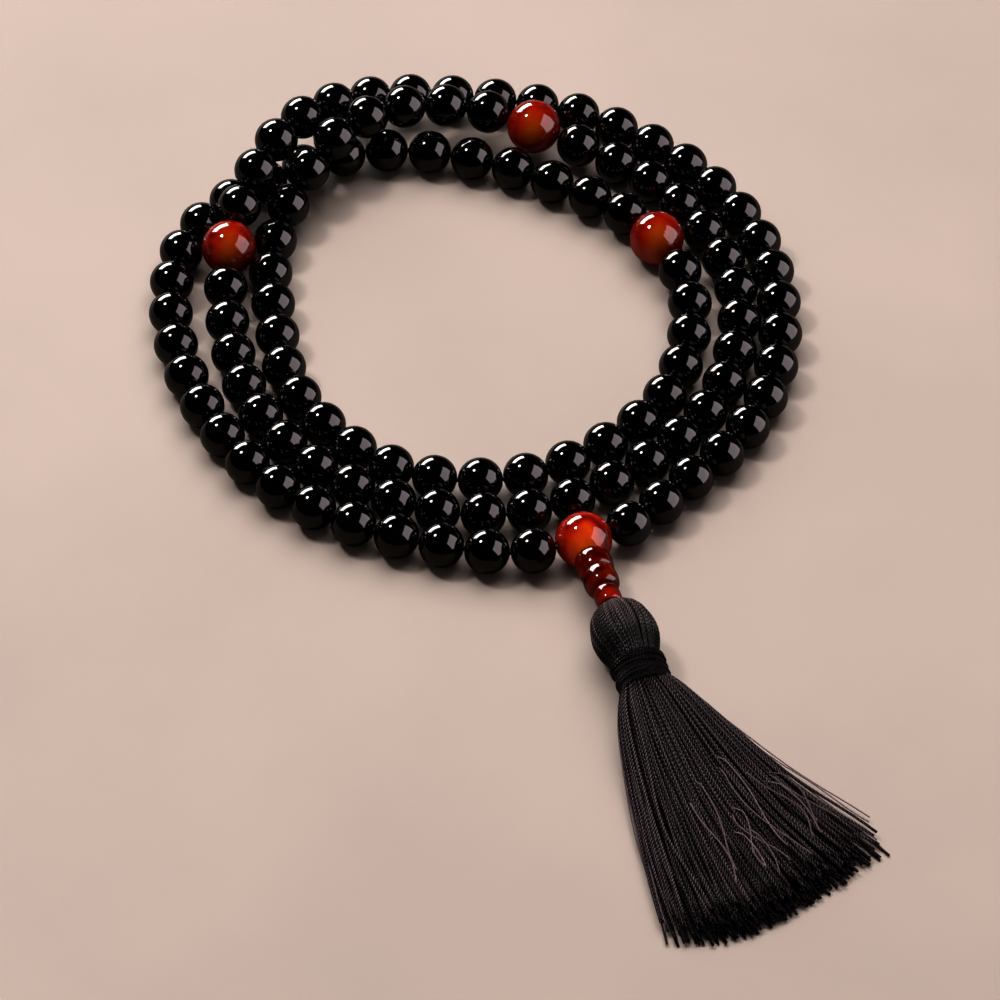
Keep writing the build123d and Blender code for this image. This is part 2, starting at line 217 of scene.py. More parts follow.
def turned_uvs(grids, rows, columns):
    """UV of a turned surface: U down the profile, V round it, a whole number apart per grid."""
    down = np.linspace(0, 1, rows + 1)[None, :, None]
    round_it = np.linspace(0, 1, columns + 1)[None, None]
    number = np.arange(grids)[:, None, None]
    return np.stack(np.broadcast_arrays(down, round_it + number), axis=-1)


def bead_profile(radius, bore, mouth, rows):
    """Radius and station round a bored ball: over its skin, then back through its bore.

    The skin is an arc from mouth to mouth, each mouth is a quarter round, and the bore is straight.
    """
    edge = np.arcsin((bore + mouth) / radius)
    angle = np.linspace(edge, np.pi - edge, rows)
    turn = np.linspace(0, np.pi / 2, 4)[1:]
    top = (radius**2 - (bore + mouth)**2) ** 0.5
    lip_radius = bore + mouth * (1 - np.sin(turn))
    lip_station = top - mouth * (1 - np.cos(turn))
    reach = np.concatenate([radius * np.sin(angle), lip_radius, lip_radius[::-1]])
    station = np.concatenate([radius * np.cos(angle), -lip_station, lip_station[::-1]])
    return reach[::-1], station[::-1]


def beads(name, centres, axes, radii, sizes, material):
    """One object of bored balls, one for each centre."""
    reach, station = bead_profile(1.0, sizes.bore / sizes.black, BEAD_MOUTH, sizes.rows)
    points = turned_points(centres, axes, radii[:, None] * reach, radii[:, None] * station,
                           sizes.columns)
    uvs = turned_uvs(len(centres), len(reach), sizes.columns)
    return grid_object(name, points, uvs, material, around_rows=True)


def thread_object(name, paths, thickness, outward, sides, material):
    """An object of threads: round tubes carried along paths (threads, rows, 3), in metres.

    Each row's circle lies square to the path. Its first direction is the given outward one with
    the part along the path taken away. U is the length so far in millimetres. V runs once round
    the thread, plus the thread's own whole number, which its material reads as its name.
    """
    threads, rows = paths.shape[:2]
    along = unit(np.gradient(paths, axis=1))
    outward = np.broadcast_to(outward, paths.shape)
    first = unit(outward - along * np.sum(outward * along, axis=2, keepdims=True))
    second = np.cross(along, first)
    angle = np.linspace(0, 2 * np.pi, sides, endpoint=False)
    circle = (np.cos(angle)[:, None] * first[:, :, None]
              + np.sin(angle)[:, None] * second[:, :, None])
    radius = np.broadcast_to(thickness, (threads, rows)) / 2
    points = paths[:, :, None] + radius[:, :, None, None] * circle
    steps = np.linalg.norm(np.diff(paths, axis=1), axis=2) / MM
    length = np.concatenate([np.zeros((threads, 1)), np.cumsum(steps, axis=1)], axis=1)
    length = np.concatenate([length, length[:, -1:]], axis=1)
    turn = np.linspace(0, 1, sides + 1)[None, None] + np.arange(threads)[:, None, None]
    uvs = np.stack(np.broadcast_arrays(length[:, :, None], turn), axis=-1)
    return grid_object(name, points, uvs, material)


# ---- materials -----------------------------------------------------------------------------------
def add_node(tree, kind, place, **settings):
    """A node with its settings; names that start with in_ are sockets by number or name."""
    node = tree.nodes.new(kind)
    node.location = place
    for key, value in settings.items():
        if key.startswith("in_"):
            socket = key[3:]
            socket = int(socket) if socket.isdigit() else socket.replace("_", " ")
            node.inputs[socket].default_value = value
        else:
            setattr(node, key, value)
    return node


def math_node(tree, operation, place, first, second=None, third=None):
    """A Math node whose inputs are numbers or sockets; gives its output."""
    node = add_node(tree, "ShaderNodeMath", place, operation=operation)
    for index, value in enumerate((first, second, third)):
        if value is None:
            continue
        if isinstance(value, (int, float)):
            node.inputs[index].default_value = value
        else:
            tree.links.new(value, node.inputs[index])
    return node.outputs[0]


def new_group(name, inputs, outputs):
    """A shader node group with its named sockets, and its input and output nodes."""
    group = bpy.data.node_groups.new(name, "ShaderNodeTree")
    for label, kind, default in inputs:
        socket = group.interface.new_socket(label, in_out="INPUT", socket_type=kind)
        if default is not None:
            socket.default_value = default
    for label, kind in outputs:
        group.interface.new_socket(label, in_out="OUTPUT", socket_type=kind)
    return (group, add_node(group, "NodeGroupInput", (-1000, 0)),
            add_node(group, "NodeGroupOutput", (900, 0)))


FLOAT, COLOUR, VECTOR = "NodeSocketFloat", "NodeSocketColor", "NodeSocketVector"


def polish_group():
    """Worn polish: fine hairlines and handling marks that change roughness and height."""
    group, given, result = new_group(
        "Worn polish", [("Vector", VECTOR, None), ("Marks", FLOAT, 0.5)],
        [("Roughness", FLOAT), ("Height", FLOAT)])
    smear = add_node(group, "ShaderNodeTexNoise", (-700, 200), in_Scale=900.0, in_Detail=3.0)
    hair = add_node(group, "ShaderNodeTexNoise", (-700, -100), in_Scale=6000.0, in_Detail=2.0)
    for texture in (smear, hair):
        group.links.new(given.outputs["Vector"], texture.inputs["Vector"])
    marks = math_node(group, "MULTIPLY", (-400, 200), smear.outputs["Fac"], given.outputs["Marks"])
    rough = math_node(group, "MULTIPLY_ADD", (-200, 200), marks, 0.09, 0.03)
    height = math_node(group, "MULTIPLY", (-200, -100), hair.outputs["Fac"], given.outputs["Marks"])
    group.links.new(rough, result.inputs["Roughness"])
    group.links.new(height, result.inputs["Height"])
    return group


def ply_group():
    """Two-ply twist: two strands wound round each other, from UV in millimetres and turns.

    The height is the size of the cosine of the angle round the thread less the twist so far, so
    it has two crests in each turn and a sharp groove between them. Each crest is painted as a
    narrow pale dot on the near-black groove colour: a painted glint. Crests darken down the thread
    with the square of the way gone to the Dark from length, as painted shade.
    """
    group, given, result = new_group(
        "Two-ply twist", [("Vector", VECTOR, None), ("Twists per mm", FLOAT, 1.2),
                          ("Groove colour", COLOUR, None), ("Crest colour", COLOUR, None),
                          ("Dark from mm", FLOAT, 1000.0)],
        [("Colour", COLOUR), ("Height", FLOAT), ("Roughness", FLOAT)])
    split = add_node(group, "ShaderNodeSeparateXYZ", (-800, 0))
    group.links.new(given.outputs["Vector"], split.inputs[0])
    own = math_node(group, "FLOOR", (-600, -200), split.outputs["Y"])
    chance = add_node(group, "ShaderNodeTexWhiteNoise", (-450, -200), noise_dimensions="1D")
    group.links.new(own, chance.inputs["W"])
    pace = math_node(group, "MULTIPLY_ADD", (-450, 100), chance.outputs["Value"], 0.25, 0.88)
    pace = math_node(group, "MULTIPLY", (-300, 100), pace, given.outputs["Twists per mm"])
    wound = math_node(group, "MULTIPLY", (-150, 100), split.outputs["X"], pace)
    wound = math_node(group, "SUBTRACT", (0, 100), split.outputs["Y"], wound)
    angle = math_node(group, "MULTIPLY", (150, 100), wound, 2 * np.pi)
    height = math_node(group, "ABSOLUTE", (450, 100), math_node(group, "COSINE", (300, 100), angle))
    tone = math_node(group, "POWER", (300, -150), chance.outputs["Value"], 2.0)
    tone = math_node(group, "MULTIPLY_ADD", (450, -150), tone, 1.1, 0.22)
    # Painted shade: crests darken with the square of the way gone down the thread, to a tenth at the Dark from
    # length.
    down = math_node(group, "DIVIDE", (150, -350), split.outputs["X"],
                     given.outputs["Dark from mm"])
    down = math_node(group, "MULTIPLY", (220, -350), down, down)
    down = math_node(group, "MINIMUM", (300, -350), down, 1.0)
    down = math_node(group, "MULTIPLY_ADD", (450, -350), down, -0.9, 1.0)
    tone = math_node(group, "MULTIPLY", (520, -200), tone, down)
    # Painted glint: a narrow pale dot on each crest, times the thread's random tone and the painted shade down it.
    glint = math_node(group, "POWER", (600, 100), height, 9.0)
    glint = math_node(group, "MULTIPLY", (600, -50), glint, tone)
    blend = add_node(group, "ShaderNodeMix", (750, 0), data_type="RGBA")
    group.links.new(glint, blend.inputs[0])
    group.links.new(given.outputs["Groove colour"], blend.inputs[6])
    group.links.new(given.outputs["Crest colour"], blend.inputs[7])
    rough = math_node(group, "MULTIPLY_ADD", (600, -300), chance.outputs["Value"], 0.14, 0.20)
    group.links.new(blend.outputs[2], result.inputs["Colour"])
    group.links.new(height, result.inputs["Height"])
    group.links.new(rough, result.inputs["Roughness"])
    return group


def new_material(name, **settings):
    """A material with a Principled BSDF; settings are its own sockets' values."""
    material = bpy.data.materials.new(name)
    material.use_nodes = True
    shader = material.node_tree.nodes["Principled BSDF"]
    for key, value in settings.items():
        shader.inputs[key.replace("_", " ")].default_value = value
    return material, material.node_tree, shader


def place_group(tree, group, place, vector, **values):
    """The group placed in a material, with its own values."""
    node = add_node(tree, "ShaderNodeGroup", place, node_tree=group)
    tree.links.new(vector, node.inputs["Vector"])
    for key, value in values.items():
        node.inputs[key.replace("_", " ")].default_value = value
    return node


def bump(tree, shader, height, distance):
    """A Bump node from a height to the shader's Normal."""
    node = add_node(tree, "ShaderNodeBump", (-200, -350), in_Distance=distance, in_Strength=1.0)
    tree.links.new(height, node.inputs["Height"])
    tree.links.new(node.outputs[0], shader.inputs["Normal"])


def texture(tree, kind, place, vector, **settings):
    """A texture or mapping node that reads the vector."""
    node = add_node(tree, "ShaderNode" + kind, place, **settings)
    tree.links.new(vector, node.inputs["Vector"])
    return node


def colour_ramp(tree, place, source, stops):
    """A Color Ramp over (position, colour) stops; gives its colour."""
    node = add_node(tree, "ShaderNodeValToRGB", place)
    elements = node.color_ramp.elements
    while len(elements) < len(stops):
        elements.new(0.5)
    for element, (position, colour) in zip(elements, stops):
        element.position = position
        element.color = (*colour, 1.0)
    tree.links.new(source, node.inputs[0])
    return node.outputs[0]


def toned(colour, tone):
    """A colour made darker or paler."""
    return tuple(tone * part for part in colour)


def wear(tree, shader, polish, vector, marks):
    """Gives a polished stone its worn roughness and height."""
    worn = place_group(tree, polish, (-600, -100), vector, Marks=marks)
    tree.links.new(worn.outputs["Roughness"], shader.inputs["Roughness"])
    bump(tree, shader, worn.outputs["Height"], 0.000002)


def waved(tree, shader, wave, stops, swing, least, height):
    """Colour, roughness and height that all follow one wave."""
    wave = wave.outputs["Fac"]
    tree.links.new(colour_ramp(tree, (-700, 200), wave, stops), shader.inputs["Base Color"])
    tree.links.new(math_node(tree, "MULTIPLY_ADD", (-600, -100), wave, swing, least),
                   shader.inputs["Roughness"])
    bump(tree, shader, wave, height)


def object_vector(tree):
    """Object coordinates."""
    return add_node(tree, "ShaderNodeTexCoord", (-1400, 0)).outputs["Object"]


def onyx_material(polish, colour):
    """Polished black onyx: near black all through, faintly clouded with brown, under a gloss."""
    material, tree, shader = new_material("Black onyx", IOR=1.54, Coat_Weight=0.25,
                                          Coat_Roughness=0.02)
    vector = object_vector(tree)
    cloud = texture(tree, "TexNoise", (-1000, 300), vector, in_Scale=260.0, in_Detail=4.0)
    paler = tuple(2.5 * part + 0.001 for part in colour)
    tree.links.new(colour_ramp(tree, (-700, 300), cloud.outputs["Fac"],
                               [(0.45, colour), (0.85, paler)]), shader.inputs["Base Color"])
    wear(tree, shader, polish, vector, 0.35)
    return material


def carnelian_material(name, polish, glow, colour, dark, veins, heart, reach):
    """Carnelian: banded red and orange stone that light enters and tints, under a high polish.

    Soft bands come from a stretched noise bent by a second noise. Round the heart, the place where
    light that crossed the stone comes out, the bands turn paler: the ball of that reach adds one
    at its middle, falling to nothing at its edge. Scattered light reaches furthest in red.
    """
    material, tree, shader = new_material(name, IOR=1.54, Coat_Weight=0.3, Coat_Roughness=0.02,
                                          Subsurface_Weight=glow, Subsurface_Scale=0.0035)
    shader.inputs["Subsurface Radius"].default_value = (1.0, 0.16, 0.05)
    vector = object_vector(tree)
    turned = texture(tree, "Mapping", (-1200, 200), vector, in_Rotation=(0.5, 0.9, 0.3),
                     in_Scale=(1.0, 1.0, 0.35))
    bands = texture(tree, "TexNoise", (-1000, 200), turned.outputs[0], in_Scale=170.0,
                    in_Detail=5.0, in_Distortion=1.6)
    centred = texture(tree, "Mapping", (-1200, 500), vector, vector_type="TEXTURE",
                      in_Location=heart, in_Scale=reach)
    lit = texture(tree, "TexGradient", (-1000, 500), centred.outputs[0],
                  gradient_type="SPHERICAL")
    banded = math_node(tree, "MULTIPLY_ADD", (-850, 250), bands.outputs["Fac"], 0.55, 0.10)
    shade = math_node(tree, "MULTIPLY_ADD", (-850, 450), lit.outputs["Fac"], 0.75, banded)
    stops = [(0.28, dark), (0.5, colour), (0.95, veins)]
    tree.links.new(colour_ramp(tree, (-700, 300), shade, stops), shader.inputs["Base Color"])
    wear(tree, shader, polish, vector, 0.3)
    return material


def thread_material(name, ply, groove, glint, twists, depth, sheen, painted_shade_from):
    """Silky twisted thread: dark grooves, crests painted pale as glints, and a soft sheen."""
    material, tree, shader = new_material(name, IOR=1.5, Sheen_Weight=sheen, Sheen_Roughness=0.35,
                                          Specular_IOR_Level=0.16)
    shader.inputs["Sheen Tint"].default_value = (0.62, 0.47, 0.50, 1.0)
    vector = add_node(tree, "ShaderNodeTexCoord", (-1200, 0)).outputs["UV"]
    twist = place_group(tree, ply, (-700, 0), vector, Twists_per_mm=twists,
                        Groove_colour=(*groove, 1.0), Crest_colour=(*glint, 1.0),
                        Dark_from_mm=painted_shade_from)
    tree.links.new(twist.outputs["Colour"], shader.inputs["Base Color"])
    tree.links.new(twist.outputs["Roughness"], shader.inputs["Roughness"])
    bump(tree, shader, twist.outputs["Height"], depth)
    return material


def cord_material(name, groove, glint):
    """Fine cord on the CAD pieces: diagonal twist from Object coordinates, its paler stripes painted as dim
    glints.
    """
    material, tree, shader = new_material(name, IOR=1.5, Sheen_Weight=0.15, Sheen_Roughness=0.4)
    vector = object_vector(tree)
    turned = texture(tree, "Mapping", (-1200, 0), vector, in_Rotation=(0.6, 0.7, 0.4))
    wave = texture(tree, "TexWave", (-1000, 0), turned.outputs[0], in_Scale=420.0,
                   in_Distortion=2.0, in_Detail=2.0)
    waved(tree, shader, wave, [(0.2, groove), (0.9, glint)], 0.2, 0.42, 0.00006)
    return material


def wood_material():
    """Plain turned wood for the former inside the head, with rings along its length."""
    material, tree, shader = new_material("Core wood")
    vector = object_vector(tree)
    wave = texture(tree, "TexWave", (-1000, 0), vector, in_Scale=160.0, in_Distortion=5.0,
                   in_Detail=3.0)
    waved(tree, shader, wave, [(0.0, (0.28, 0.16, 0.08)), (1.0, (0.42, 0.28, 0.15))], 0.15, 0.5,
          0.00003)
    return material


def table_material(colour):
    """Pale matt table, very softly mottled; seen in glossy rays it turns dark brown, a painted darkening of the
    table's reflections in the beads.
    """
    material, tree, shader = new_material("Pale table", Specular_IOR_Level=0.3)
    vector = object_vector(tree)
    mottle = texture(tree, "TexNoise", (-1000, 200), vector, in_Scale=14.0, in_Detail=8.0)
    shade = colour_ramp(tree, (-700, 200), mottle.outputs["Fac"],
                        [(0.3, toned(colour, 0.9)), (0.7, colour)])
    # Painted reflection: glossy rays see the table as a dark brown, so the beads reflect it darker.
    path = add_node(tree, "ShaderNodeLightPath", (-700, 500))
    dimmed = add_node(tree, "ShaderNodeMix", (-350, 300), data_type="RGBA",
                      in_7=(0.12, 0.09, 0.07, 1.0))
    tree.links.new(path.outputs["Is Glossy Ray"], dimmed.inputs[0])
    tree.links.new(shade, dimmed.inputs[6])
    tree.links.new(dimmed.outputs[2], shader.inputs["Base Color"])
    shader.inputs["Roughness"].default_value = 0.7
    return material


# ---- sizes and colours ---------------------------------------------------------------------------
def length(name, description, default, low=0.0, high=200.0):
    """A size in millimetres, kept as a plain number."""
    return FloatProperty(name=name, description=description + ", in millimetres", default=default,
                         min=low, max=high)


def tint(name, description, default):
    """A linear colour."""
    return FloatVectorProperty(name=name, description=description, default=default, size=3,
                               subtype="COLOR", min=0.0, max=1.0)


class MalaBeadSizes(PropertyGroup):
    black: length("Black bead", "Diameter of a black bead", 8.0)
    bore: length("Bore", "Diameter of a bead's bore", 1.2)
    rows: IntProperty(name="Rows", description="Rings of faces from mouth to mouth", default=24,
                      min=8)
    columns: IntProperty(name="Columns", description="Faces round a bead", default=40, min=8)
    tier_1: length("First tier", "Diameter of the tower's first tier", 6.6)
    tier_2: length("Second tier", "Diameter of the tower's second tier", 6.2)
    tier_3: length("Third tier", "Diameter of the tower's third tier", 4.7)
    tier_1_length: length("First tier length", "Length of the tower's first tier", 4.2)
    tier_2_length: length("Second tier length", "Length of the tower's second tier", 4.2)
    tier_3_length: length("Third tier length", "Length of the tower's third tier", 3.7)
    groove: length("Groove", "Depth of a groove inside the smaller tier beside it", 0.5)
    seat: length("Seat", "Diameter of the rim that sits on the guru bead", 5.2)
    seat_gap: length("Seat gap", "Air between the guru bead and the tower", 0.1)
    end: length("Tower end", "Diameter of the tower's outer end", 3.7)
    tower_bore: length("Tower bore", "Diameter of the hole through the tower", 2.0)
    mouth: length("Tower mouth", "Diameter of the hollow in the tower's outer end", 3.2)


class MalaTasselSizes(PropertyGroup):
    thread: length("Thread", "Diameter of a tassel thread", 0.46)
    threads: IntProperty(name="Threads", description="Threads in the skirt", default=430, min=50)
    head_threads: IntProperty(name="Head threads", description="Threads over the head", default=76)
    head_diameter: length("Head", "Diameter of the head at its widest", 11.6)
    head_start: length("Head top", "From the knot to the top of the head", 0.5)
    head_shift: length("Head shift", "How far the neck sits to the right of the knot", 0.35)
    head_length: length("Head length", "From the top of the head to the binding", 12.6)
    neck: length("Neck", "Diameter of the threads under the binding", 8.4)
    binding_length: length("Binding", "Length of the winding round the neck", 5.5)
    binding_tilt: length("Binding tilt", "How much further down the top of the winding lies", 1.1)
    binding_turns: FloatProperty(name="Binding turns", description="Turns of thread", default=12.5)
    skirt_length: length("Skirt", "From the binding to the cut ends", 49.8)
    end_width: length("Cut width", "Width of the skirt at its cut ends", 41.8)
    end_height: length("Cut height", "Thickness of the skirt at its cut ends", 4.6)
    flare: length("Flare", "Width that the skirt gains at once", 3.6)
    flare_length: length("Flare length", "Length over which it gains that width", 3.5)
    bow: length("Bow", "How far the skirt's middle bends to the left", 0.3)
    lean: FloatProperty(name="Lean", description="Degrees that the skirt lies off the head's line",
                        default=10.0)
    trim: length("Trim", "How much sooner the top threads end", 5.0)
    seed: IntProperty(name="Seed", description="Changes how the threads fall", default=7)


class MalaColours(PropertyGroup):
    onyx: tint("Onyx", "Black beads", (0.0012, 0.0010, 0.0010))
    red: tint("Carnelian", "Marker and guru beads", (0.36, 0.016, 0.004))
    red_dark: tint("Carnelian shade", "Darkest bands of the red beads", (0.15, 0.004, 0.002))
    red_vein: tint("Carnelian veins", "Palest bands of the red beads", (0.95, 0.17, 0.012))
    # Colour of the painted glints on the thread's crests.
    thread: tint("Thread crest", "Crests of the tassel thread", (0.26, 0.182, 0.192))
    thread_groove: tint("Thread groove", "Grooves of the tassel thread", (0.0012, 0.0008, 0.0008))
    table: tint("Table", "The pale table", (0.52, 0.435, 0.39))


class MalaStageSettings(PropertyGroup):
    elevation: FloatProperty(name="Elevation", description="Degrees that the camera looks down",
                             default=47.2)
    distance: length("Distance", "From the camera to the point it looks at", 904.5, high=3000.0)
    lens: length("Lens", "Focal length of the camera", 185.0, high=500.0)
    aim: FloatVectorProperty(name="Aim", description="From the guru bead's centre, in millimetres",
                             default=(-14.50, 14.09, -5.0), size=3)


class MalaSettings(PropertyGroup):
    beads: PointerProperty(type=MalaBeadSizes)
    tassel: PointerProperty(type=MalaTasselSizes)
    colours: PointerProperty(type=MalaColours)
    stage: PointerProperty(type=MalaStageSettings)


def settings(context):
    return context.scene.mala


def finish_named(name):
    """A material made by the operator that mixes the finishes."""
    return bpy.data.materials[name]


# ---- operators -----------------------------------------------------------------------------------
class MALA_OT_set_stage(Operator):
    """Puts up the camera, the pale table and the soft lights"""
    bl_idname = "mala.set_stage"
    bl_label = "Set the stage"

    # name, direction from the beads, distance, width, height, radiance, colour, what it lights
    lamps = (
        ("Small lamp", (-0.47, 0.20, 0.86), 1.0, 0.19, 0.19, 46.0, (1.0, 0.96, 0.93), "all"),
        ("Long window", (-0.41, 0.83, 0.39), 1.3, 0.90, 0.46, 16.0, (1.0, 0.96, 0.93), "gloss"),
        ("Side window", (0.88, -0.12, 0.46), 1.2, 1.30, 1.25, 3.5, (1.0, 0.86, 0.89), "gloss"),
        ("Ceiling", (0.06, 0.46, 0.88), 1.4, 1.40, 1.40, 4.3, (1.0, 0.96, 0.94), "matt"),
    )

    def execute(self, context):
        stage = settings(context).stage
        target = Vector(GURU_CENTRE) + Vector(stage.aim) * MM
        tilt = np.radians(stage.elevation)
        data = bpy.data.cameras.new("Camera")
        data.lens = stage.lens
        data.clip_start = 0.01
        camera = bpy.data.objects.new("Camera", data)
        context.scene.collection.objects.link(camera)
        back = Vector((0.0, -np.cos(tilt), np.sin(tilt)))
        camera.location = target + back * stage.distance * MM
        camera.rotation_euler = back.to_track_quat("Z", "Y").to_euler()
        context.scene.camera = camera

        middle = Vector(((cad_box[0][0] + cad_box[1][0]) / 2,
                         (cad_box[0][1] + cad_box[1][1]) / 2, 0.0))
        for name, direction, distance, width, height, radiance, colour, lights in self.lamps:
            light = bpy.data.lights.new(name, "AREA")
            light.shape = "DISK" if width == height and width < 0.3 else "RECTANGLE"
            light.size = width
            light.size_y = height
            area = width * height * (np.pi / 4 if light.shape == "DISK" else 1.0)
            light.energy = radiance * area * np.pi
            light.color = colour
            lamp = bpy.data.objects.new(name, light)
            context.scene.collection.objects.link(lamp)
            toward = Vector(direction).normalized()
            lamp.visible_diffuse = lights != "gloss"
            lamp.visible_glossy = lights != "matt"
            lamp.location = middle + toward * distance
            lamp.rotation_euler = toward.to_track_quat("Z", "Y").to_euler()
        world = bpy.data.worlds.new("Dim room")
        world.use_nodes = True
        background = world.node_tree.nodes["Background"]
        background.inputs["Color"].default_value = (0.9, 0.82, 0.78, 1.0)
        background.inputs["Strength"].default_value = 0.13
        context.scene.world = world
        world.cycles_visibility.glossy = False
        context.scene.view_settings.view_transform = "Standard"
        context.scene.view_settings.gamma = 0.75

        half = 2.0
        corners = np.array([[-half, -half, 0], [half, -half, 0], [half, half, 0], [-half, half, 0]])
        mesh = bpy.data.meshes.new("table")
        mesh.from_pydata(corners.tolist(), [], [(0, 1, 2, 3)])
        mesh.materials.append(table_material(settings(context).colours.table))
        table = bpy.data.objects.new("table", mesh)
        context.scene.collection.objects.link(table)
        return {"FINISHED"}


class MALA_OT_mix_finishes(Operator):
    """Makes the materials of the beads, threads and cord, and gives the kept CAD pieces theirs"""
    bl_idname = "mala.mix_finishes"
    bl_label = "Mix the finishes"

    # where light that crossed a red bead comes out, and how far it spreads, in bead radii
    heart = (0.05, -0.78, 0.45)
    heart_reach = (0.72, 1.0, 1.1)
    # name, tone of the painted crest glints, twists per mm, height in metres, sheen, length down the thread to
    # full painted shade in mm
    threads = (("Tassel thread", 1.0, 0.65, 0.00025, 0.01, 1000.0),
               # The head's copy: brighter painted glints that fade to painted shade towards the neck.
               ("Head thread", 1.9, 0.65, 0.00025, 0.0, 12.0),
               # A copy with its glints painted dim: painted shade for the threads deep in the skirt.
               ("Shaded thread", 0.12, 0.75, 0.00025, 0.0, 1000.0),
               ("Binding thread", 0.1, 0.9, 0.0002, 0.0, 1000.0))
    kept = {"stringing_cord": "Bead cord", "cord_tails": "Bead cord", "closing_knot": "Bead cord",
            "tassel_loop": "Loop cord", "loop_knot": "Loop cord", "head_core": "Core wood"}

    def execute(self, context):
        colours = settings(context).colours
        polish = polish_group()
        ply = ply_group()
        onyx_material(polish, tuple(colours.onyx))
        red, dark, vein = tuple(colours.red), tuple(colours.red_dark), tuple(colours.red_vein)
        for node_name in sorted(nodes):
            if node_name.startswith("quarter_marker") or node_name == "guru_bead":
                low, high = np.array(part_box(node_name))
                radius = (high - low)[2] / 2
                heart = (low + high) / 2 + radius * np.array(self.heart)
                tone, warm = (1.45, 1.0) if node_name == "guru_bead" else (0.95, 0.45)
                carnelian_material("Carnelian " + node_name, polish, 0.85, toned(red, tone), dark,
                                   toned(vein, warm), heart, np.array(self.heart_reach) * radius)
        # The tower's paler patch near its outer end is a painted glow, where light that crossed it comes out.
        carnelian_material("Dark carnelian", polish, 0.7, toned(red, 0.58), toned(dark, 0.3), red,
                           GURU_CENTRE + STEM_AXIS * 16.5 * MM + TABLE_NORMAL * 2.0 * MM,
                           np.array([2.6, 2.6, 2.6]) * MM)
        groove, glint = tuple(colours.thread_groove), tuple(colours.thread)
        for name, tone, twists, depth, sheen, painted_shade_from in self.threads:
            thread_material(name, ply, groove, toned(glint, tone), twists, depth, sheen, painted_shade_from)
        # Loose threads get brighter painted glints and grooves painted half as pale as the skirt's glints: painted
        # highlight.
        thread_material("Loose thread", ply, toned(glint, 0.5), toned(glint, 2.2), 1.6, 0.0001,
                        0.2, 1000.0)
        # The cords' crests take dim painted glints from the thread's glint colour.
        cord_material("Bead cord", groove, toned(glint, 0.2))
        cord_material("Loop cord", groove, toned(glint, 0.15))
        wood_material()
        for node_name, finish in self.kept.items():
            piece = nodes[node_name]
            piece.data.materials.clear()
            piece.data.materials.append(finish_named(finish))
        return {"FINISHED"}


class MALA_OT_string_beads(Operator):
    """Strings the black, marker and guru beads at their places on the cord"""
    bl_idname = "mala.string_beads"
    bl_label = "String the beads"

    def string(self, node_name, sizes, finish, slot):
        centres, axes, radii = bead_places(node_name)
        piece = beads(node_name + "_polished", centres, axes, radii, sizes, finish_named(finish))
        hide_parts(node_name)
        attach(piece, self.body_of[node_name])

    def execute(self, context):
        sizes = settings(context).beads
        bodies = frame["record"]["behaviour"]["bodies"]
        self.body_of = {node: body for body, members in bodies.items() for node in members}
        for node_name in sorted(nodes):
            if node_name.startswith("quarter_marker"):
                self.string(node_name, sizes, "Carnelian " + node_name, "carnelian")
            elif node_name.startswith("q"):
                self.string(node_name, sizes, "Black onyx", "black_onyx")
        box = np.array(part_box("guru_bead"))
        radius = (box[1] - box[0])[2:3] / 2
        guru = beads("guru_bead_polished", GURU_CENTRE[None], STRAND_AXIS[None], radius, sizes,
                     finish_named("Carnelian guru_bead"))
        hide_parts("guru_bead")
        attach(guru, self.body_of["guru_bead"])
        return {"FINISHED"}


class MALA_OT_turn_tower(Operator):
    """Turns the three-tiered tower bead on its own axis"""
    bl_idname = "mala.turn_tower"
    bl_label = "Turn the tower bead"

    def execute(self, context):
        sizes = settings(context).beads
        box = np.array(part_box("guru_bead"))
        seat_radius = (box[1] - box[0])[2] / 2 / MM + sizes.seat_gap
        start = (seat_radius**2 - (sizes.seat / 2)**2) ** 0.5
        tiers = ((sizes.tier_1, sizes.tier_1_length), (sizes.tier_2, sizes.tier_2_length),
                 (sizes.tier_3, sizes.tier_3_length))
        waists = [sizes.seat / 2, min(sizes.tier_1, sizes.tier_2) / 2 - sizes.groove,
                  min(sizes.tier_2, sizes.tier_3) / 2 - sizes.groove, sizes.end / 2]
        reach, station = [], []
        here = start
        turn = np.linspace(0, np.pi, 14)
        for index, (diameter, tier_length) in enumerate(tiers):
            share = (1 - np.cos(turn)) / 2
            waist = waists[index] * (1 - share) + waists[index + 1] * share
            reach.append(waist + (diameter / 2 - waist) * np.sin(turn) ** 0.8)
            station.append(here + tier_length * share)
            here += tier_length
        mouth, bore = sizes.mouth / 2, sizes.tower_bore / 2
        reach.append(np.array([mouth + 0.1, mouth, (mouth + bore) / 2, bore, bore, sizes.seat / 4,
                               sizes.seat / 2 - 0.1]))
        seat_depth = [(seat_radius**2 - value**2) ** 0.5 for value in (bore, sizes.seat / 4)]
        station.append(np.array([here, here - 0.1, here - 0.9, here - 1.1, *seat_depth, start]))
        reach = np.concatenate(reach)[None, ::-1] * MM
        station = np.concatenate(station)[None, ::-1] * MM
        points = turned_points(GURU_CENTRE[None], STEM_AXIS[None], reach, station, ROUND_FACES)
        tower = grid_object("tower_bead_polished", points,
                            turned_uvs(1, reach.shape[1], ROUND_FACES),
                            finish_named("Dark carnelian"), around_rows=True)
        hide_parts("tower_bead")
        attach(tower, "tower")
        return {"FINISHED"}


